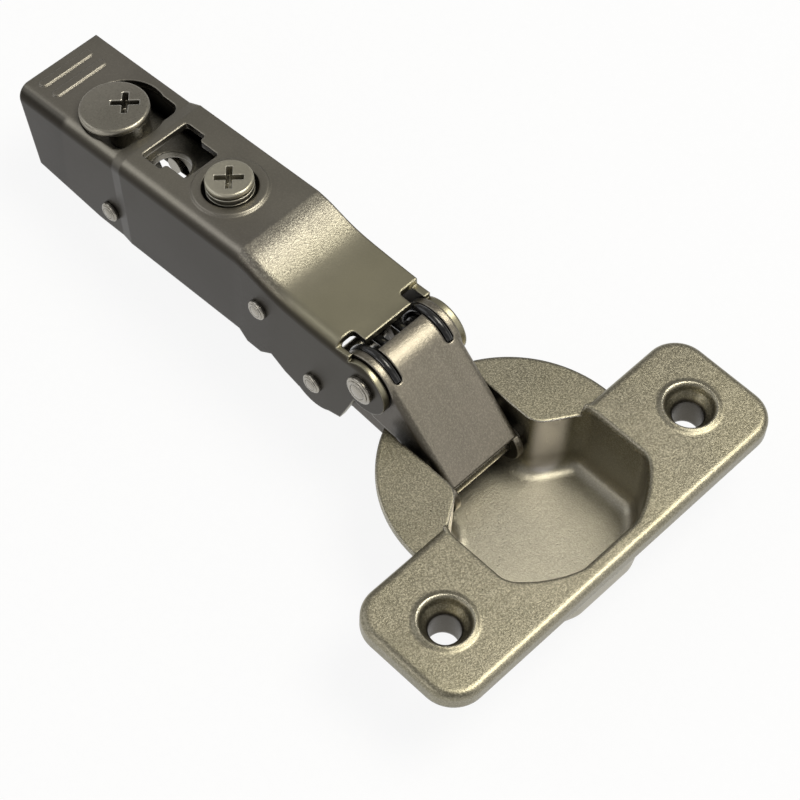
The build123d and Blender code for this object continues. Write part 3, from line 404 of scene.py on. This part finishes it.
# Places shared with the model, from the cup's centre, and the lean of the open arm in degrees
hinge = {"armPin": (-0.02031, 0.00559), "armLean": 6.0}


def armPlace(along, up):
    # place on the arm's own axes, from the outer pin, as X and Z
    lean = math.radians(hinge["armLean"])
    return (hinge["armPin"][0] + along * math.cos(lean) - up * math.sin(lean),
            hinge["armPin"][1] + along * math.sin(lean) + up * math.cos(lean))


# Turned caps on the riveted heads: raised rim, groove and low dome, in shares of the head's radius;
# each head has its place in X and Z, its reach across Y and its radius
rivetCaps = {
    "sizes": {"Rim": 0.84, "Sink": -0.03},
    "steps": [(0.09, 0.94), (0.02, 0.76), (-0.09, 0.93), (0.11, 0.86), (0.04, 0.7), (0.02, 0.45)],
    "sides": 40,
    "heads": {
        "cup": [((-0.0066, -0.00552), 0.00855, 0.0017), ((-0.01025, -0.00325), 0.00855, 0.0017)],
        "arm": [(hinge["armPin"], 0.0082, 0.0021), ((-0.02897, -0.00216), 0.0081, 0.0015),
                (armPlace(-0.0191, 0.0002), 0.0081, 0.0015)],
        "tilt_pin": [(armPlace(-0.0494, -0.0037), 0.00785, 0.0015)],
    },
}


def capTree(recipe, material):
    tree, given = newTree("rivetCaps", recipe["sizes"])
    points = given["Geometry"]
    disc = points.add("GeometryNodeMeshCircle", {"Vertices": recipe["sides"], "Radius": given["Rim"]},
                      out="Mesh", fill_type="NGON")
    cap, top = disc, True
    for rise, share in recipe["steps"]:
        cap = cap.add("GeometryNodeExtrudeMesh", {"Mesh": cap, "Selection": top, "Offset Scale": rise,
                                                  "Individual": False}, out="Mesh", mode="FACES")
        top = Flow(tree, cap.socket.node.outputs["Top"])
        cap = cap.add("GeometryNodeScaleElements", {"Geometry": cap, "Selection": top, "Scale": share},
                      out="Geometry", domain="FACE")
    joined = tree.nodes.new("GeometryNodeJoinGeometry")
    tree.links.new(disc.socket, joined.inputs[0])
    tree.links.new(cap.socket, joined.inputs[0])
    drop = cap.add("ShaderNodeCombineXYZ", {"Z": given["Sink"]})
    whole = Flow(tree, joined.outputs[0])
    closed = cap.add("GeometryNodeTransform", {"Geometry": whole, "Translation": drop})
    facing = cap.add("GeometryNodeInputNamedAttribute", {"Name": "facing"}, out="Attribute",
                     data_type="FLOAT_VECTOR")
    radius = cap.add("GeometryNodeInputNamedAttribute", {"Name": "headRadius"}, out="Attribute",
                     data_type="FLOAT")
    turn = cap.add("FunctionNodeAlignRotationToVector", {"Vector": facing}, axis="Z")
    placed = cap.add("GeometryNodeInstanceOnPoints", {"Points": points, "Instance": closed,
                                                      "Rotation": turn, "Scale": radius})
    closeTree(tree, placed, material)
    return tree


def layCaps(recipe, material):
    tree = capTree(recipe, material)
    for body, heads in recipe["heads"].items():
        carrier = bpy.data.meshes.new(body + "Heads")
        spots = [(place[0], side * reach, place[1], side, radius)
                 for place, reach, radius in heads for side in (-1.0, 1.0)]
        carrier.from_pydata([spot[:3] for spot in spots], [], [])
        carrier.attributes.new("facing", "FLOAT_VECTOR", "POINT")
        carrier.attributes.new("headRadius", "FLOAT", "POINT")
        for index, spot in enumerate(spots):
            carrier.attributes["facing"].data[index].vector = (0.0, spot[3], 0.0)
            carrier.attributes["headRadius"].data[index].value = spot[4]
        grow(body + "RivetCaps", tree, carrier, recipe["sizes"], body)


layCaps(rivetCaps, turnedPin)
print("stage: rivet caps laid")

# Table under the hinge
table = {"level": -0.0113, "half": 4.0, "colour": (0.66, 0.66, 0.66), "fleck": (0.70, 0.70, 0.70),
         "rough": 0.8, "shine": 0.1, "grainScale": 900.0, "fleckSpan": (0.3, 0.7), "whiteShare": 0.9}


def layTable(sizes):
    half = sizes["half"]
    corners = [(-half, -half, sizes["level"]), (half, -half, sizes["level"]),
               (half, half, sizes["level"]), (-half, half, sizes["level"])]
    mesh = bpy.data.meshes.new("tableTop")
    mesh.from_pydata(corners, [], [(0, 1, 2, 3)])
    top = bpy.data.objects.new("tableTop", mesh)
    scene.collection.objects.link(top)
    made, tree, shader, coords = startMaterial("palePaper")
    grain = noise(coords, sizes["grainScale"])
    tone = mixColour(tree, grain.ramp(*sizes["fleckSpan"]), sizes["colour"], sizes["fleck"])
    shader.inputs["Roughness"].default_value = sizes["rough"]
    shader.inputs["Specular IOR Level"].default_value = sizes["shine"]
    joinTo(tree, shader, **{"Base Color": tone})
    path = tree.nodes.new("ShaderNodeLightPath")
    seen = Flow(tree, path.outputs["Is Camera Ray"])
    mirrored = Flow(tree, path.outputs["Is Glossy Ray"])
    passed = Flow(tree, path.outputs["Is Transmission Ray"])
    white = tree.nodes.new("ShaderNodeEmission")  # strength 1, plain white
    mixed = tree.nodes.new("ShaderNodeMixShader")
    share = (seen + mirrored + passed).held() * sizes["whiteShare"]
    tree.links.new(share.socket, mixed.inputs[0])
    tree.links.new(shader.outputs[0], mixed.inputs[1])
    tree.links.new(white.outputs[0], mixed.inputs[2])
    tree.links.new(mixed.outputs[0], tree.nodes["Material Output"].inputs["Surface"])
    mesh.materials.append(made)


layTable(table)
print("stage: table laid")

# Soft lights: a warm one overhead and behind, fills from the right, the left and the front
lamps = {
    "overhead": {"place": (0.17, 0.27, 0.72), "aim": (-0.02, 0.0, 0.0), "size": 0.42, "power": 5.6,
                 "colour": (1.0, 0.965, 0.85)},
    "right": {"place": (0.65, 0.25, 0.35), "aim": (-0.01, 0.0, 0.0), "size": 0.4, "power": 0.6,
              "colour": (1.0, 0.98, 0.95)},
    "left": {"place": (-0.6, -0.35, 0.5), "aim": (-0.03, 0.0, 0.0), "size": 0.5, "power": 0.9,
             "colour": (0.97, 0.98, 1.0)},
    "front": {"place": (-0.16, -0.78, 0.32), "aim": (0.0, 0.0, 0.0), "size": 0.35, "power": 0.9,
              "colour": (1.0, 0.98, 0.97)},
}


def hangLamps(sizes):
    for name, lamp in sizes.items():
        data = bpy.data.lights.new(name + "Softbox", "AREA")
        data.shape = "SQUARE"
        data.size = lamp["size"]
        data.energy = lamp["power"]
        data.color = lamp["colour"]
        made = bpy.data.objects.new(name + "Softbox", data)
        scene.collection.objects.link(made)
        made.location = lamp["place"]
        aim = Vector(lamp["aim"]) - Vector(lamp["place"])
        made.rotation_euler = aim.to_track_quat("-Z", "Y").to_euler()


hangLamps(lamps)

# Faint sky
sky = {"colour": (0.85, 0.84, 0.84), "strength": 0.42}
world = bpy.data.worlds.new("studioSky")
scene.world = world
world.use_nodes = True
background = world.node_tree.nodes["Background"]
background.inputs["Color"].default_value = (*sky["colour"], 1.0)
background.inputs["Strength"].default_value = sky["strength"]

# Camera, found from the plate, the pins and the arm's corners in the picture
view = {
    "place": (0.09829, -0.13246, 0.26263), "right": (0.7085, 0.7049, 0.0350),
    "ahead": (-0.3693, 0.4125, -0.8328), "lens": 109.75,
    "sensor": 36.0, "nearest": 0.01, "farthest": 20.0,
}


def setCamera(sizes):
    data = bpy.data.cameras.new("shelfCamera")
    data.sensor_width = sizes["sensor"]
    data.lens = sizes["lens"]
    data.clip_start = sizes["nearest"]
    data.clip_end = sizes["farthest"]
    made = bpy.data.objects.new("shelfCamera", data)
    scene.collection.objects.link(made)
    back = -Vector(sizes["ahead"]).normalized()
    right = Vector(sizes["right"])
    right = (right - back * right.dot(back)).normalized()
    up = back.cross(right)
    turn = Matrix((right, up, back)).transposed().to_4x4()
    made.matrix_world = Matrix.Translation(Vector(sizes["place"])) @ turn
    scene.camera = made


setCamera(view)
print("stage: lamps and camera set")
